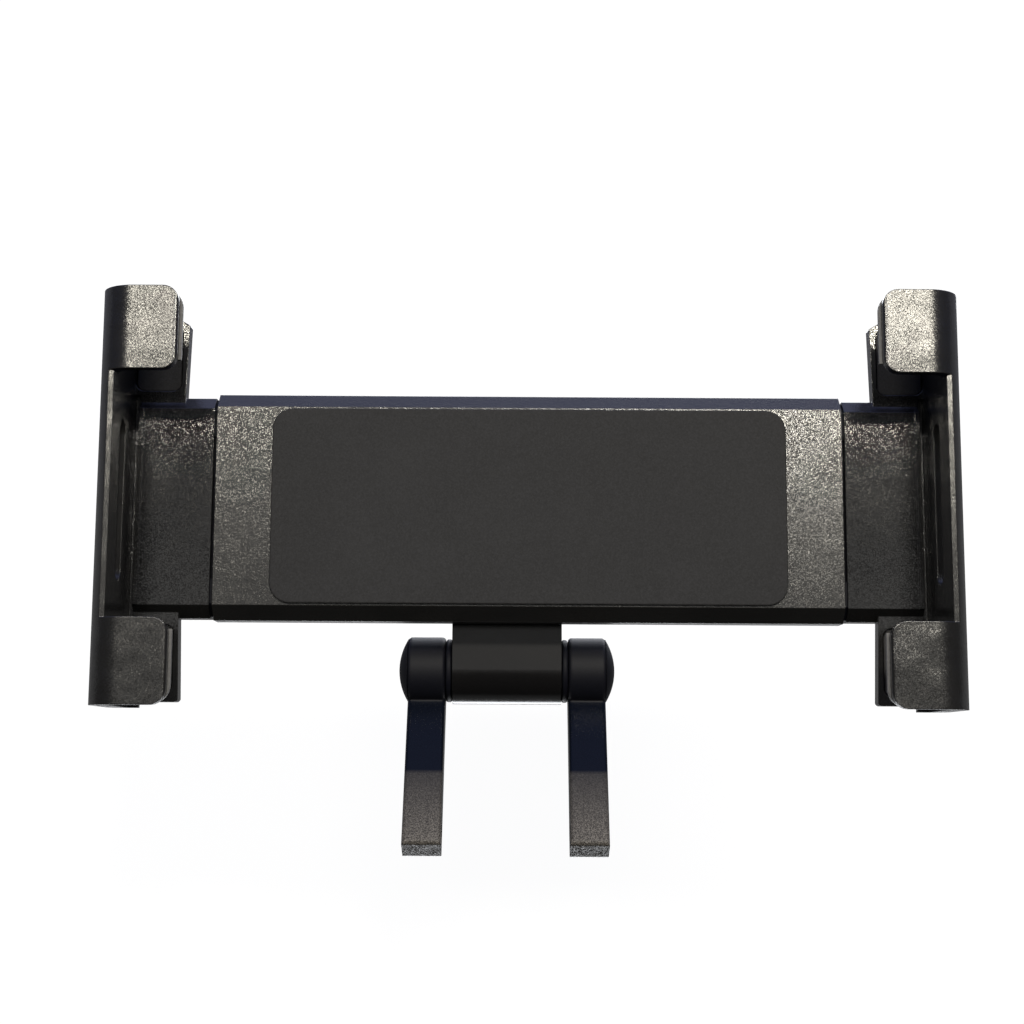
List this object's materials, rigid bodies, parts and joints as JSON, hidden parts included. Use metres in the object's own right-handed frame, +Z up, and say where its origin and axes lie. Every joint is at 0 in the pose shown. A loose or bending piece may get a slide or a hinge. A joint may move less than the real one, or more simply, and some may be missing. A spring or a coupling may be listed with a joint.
{
  "type": "tablet holder",
  "caption": "Sprung tablet holder: flat body with a rubber pad, two geared sliding jaws with corner hooks, on a swivel and a two-armed hinge fork.",
  "frame": {"origin": "centre of the cross bore at the lower end of the fork's two arms, halfway between the arms", "axes": "+X to the viewer's right along the cross bore, +Y away from the viewer into the holder, +Z up; the tablet lies on the -Y side"},
  "size_m": [0.1732, 0.0446, 0.1132],
  "materials": {
    "grained_black": "fine leather-like grain",
    "smooth_black": "satin",
    "satin_black_metal": "satin, with a sandy grain on the lower half of the arms",
    "charcoal_metal": "matt",
    "pad_rubber": "matte",
    "liner_rubber": "matte",
    "white_acetal": "smooth",
    "brown_fibre": "fibre",
    "dark_steel": "blackened",
    "bright_steel": "plated"
  },
  "bodies": {
    "fork": {"left_arm": "satin_black_metal", "right_arm": "satin_black_metal", "hinge_bolt": "bright_steel", "hinge_nut": "bright_steel", "left_cap": "smooth_black", "right_cap": "smooth_black", "left_hinge_washer": "smooth_black", "right_hinge_washer": "smooth_black"},
    "hinge": {"hinge_block": "charcoal_metal", "rear_cap": "smooth_black"},
    "holder": {"front_shell": "grained_black", "back_cover": "grained_black", "front_pad": "pad_rubber", "shell_screws": "dark_steel", "pinion_pin": "bright_steel", "left_spring": "bright_steel", "right_spring": "bright_steel", "friction_disc": "brown_fibre", "disc_spring": "bright_steel", "keeper_washer": "bright_steel", "swivel_screw": "dark_steel"},
    "right_jaw_slide_body": {"right_jaw": "grained_black", "right_slider": "smooth_black", "right_jaw_screws": "dark_steel", "right_upper_liner": "liner_rubber", "right_lower_liner": "liner_rubber", "right_upper_lip_pad": "pad_rubber", "right_lower_lip_pad": "pad_rubber"},
    "left_jaw_slide_body": {"left_jaw": "grained_black", "left_slider": "smooth_black", "left_jaw_screws": "dark_steel", "left_upper_liner": "liner_rubber", "left_lower_liner": "liner_rubber", "left_upper_lip_pad": "pad_rubber", "left_lower_lip_pad": "pad_rubber"},
    "pinion_body": {"pinion": "white_acetal"}
  },
  "joints": [
    {"name": "tilt", "type": "hinge", "parent": "fork", "child": "hinge", "pos_m": [0, 0.0141, 0.03416], "axis": [-1, 0, 0], "range_deg": [-5, 120]},
    {"name": "swivel", "type": "hinge", "parent": "hinge", "child": "holder", "pos_m": [0, 0, 0.06716], "axis": [0, 1, 0], "range_deg": [-35, 35]},
    {"name": "right_jaw_slide", "type": "slide", "parent": "holder", "child": "right_jaw_slide_body", "axis": [1, 0, 0], "range_m": [0, 0.04], "stiffness_N_per_m": 120, "springref_m": -0.03, "deforming": ["right_spring", "left_spring"]},
    {"name": "left_jaw_slide", "type": "slide", "parent": "holder", "child": "left_jaw_slide_body", "axis": [-1, 0, 0], "range_m": [0, 0.04]},
    {"name": "pinion_spin", "type": "hinge", "parent": "holder", "child": "pinion_body", "pos_m": [0.0044, 0, 0.06716], "axis": [0, -1, 0], "range_deg": [0, 360]}
  ],
  "couplings": [
    {"joint": "left_jaw_slide", "follows": "right_jaw_slide", "ratio": 1},
    {"joint": "pinion_spin", "follows": "right_jaw_slide", "rad_per_m": 156.25}
  ]
}
